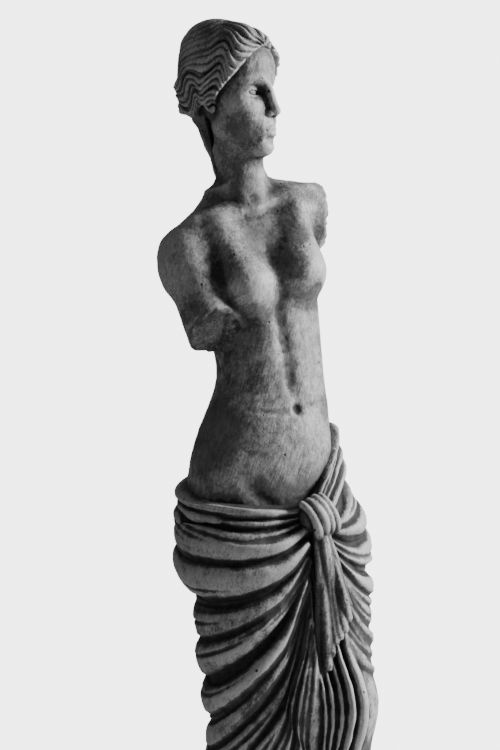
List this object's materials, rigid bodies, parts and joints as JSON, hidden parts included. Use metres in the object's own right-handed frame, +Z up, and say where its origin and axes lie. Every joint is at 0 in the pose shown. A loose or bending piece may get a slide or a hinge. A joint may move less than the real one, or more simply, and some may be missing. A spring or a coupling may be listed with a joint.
{
  "type": "greek statue",
  "caption": "Standing half-draped figure in weathered cast stone, arms broken off, on a low base that it rests on.",
  "frame": {"origin": "centre of the base's underside, on the surface that the statue stands on", "axes": "+Z up along the height, -Y out of the figure's front, +X to the figure's left"},
  "size_m": [0.236, 0.22, 0.9708],
  "materials": {
    "cast_stone": "dark weathered cast stone, matt, black in the hollows and rubbed grey on the ridges"
  },
  "bodies": {
    "root": {"statue": "cast_stone"}
  },
  "joints": []
}
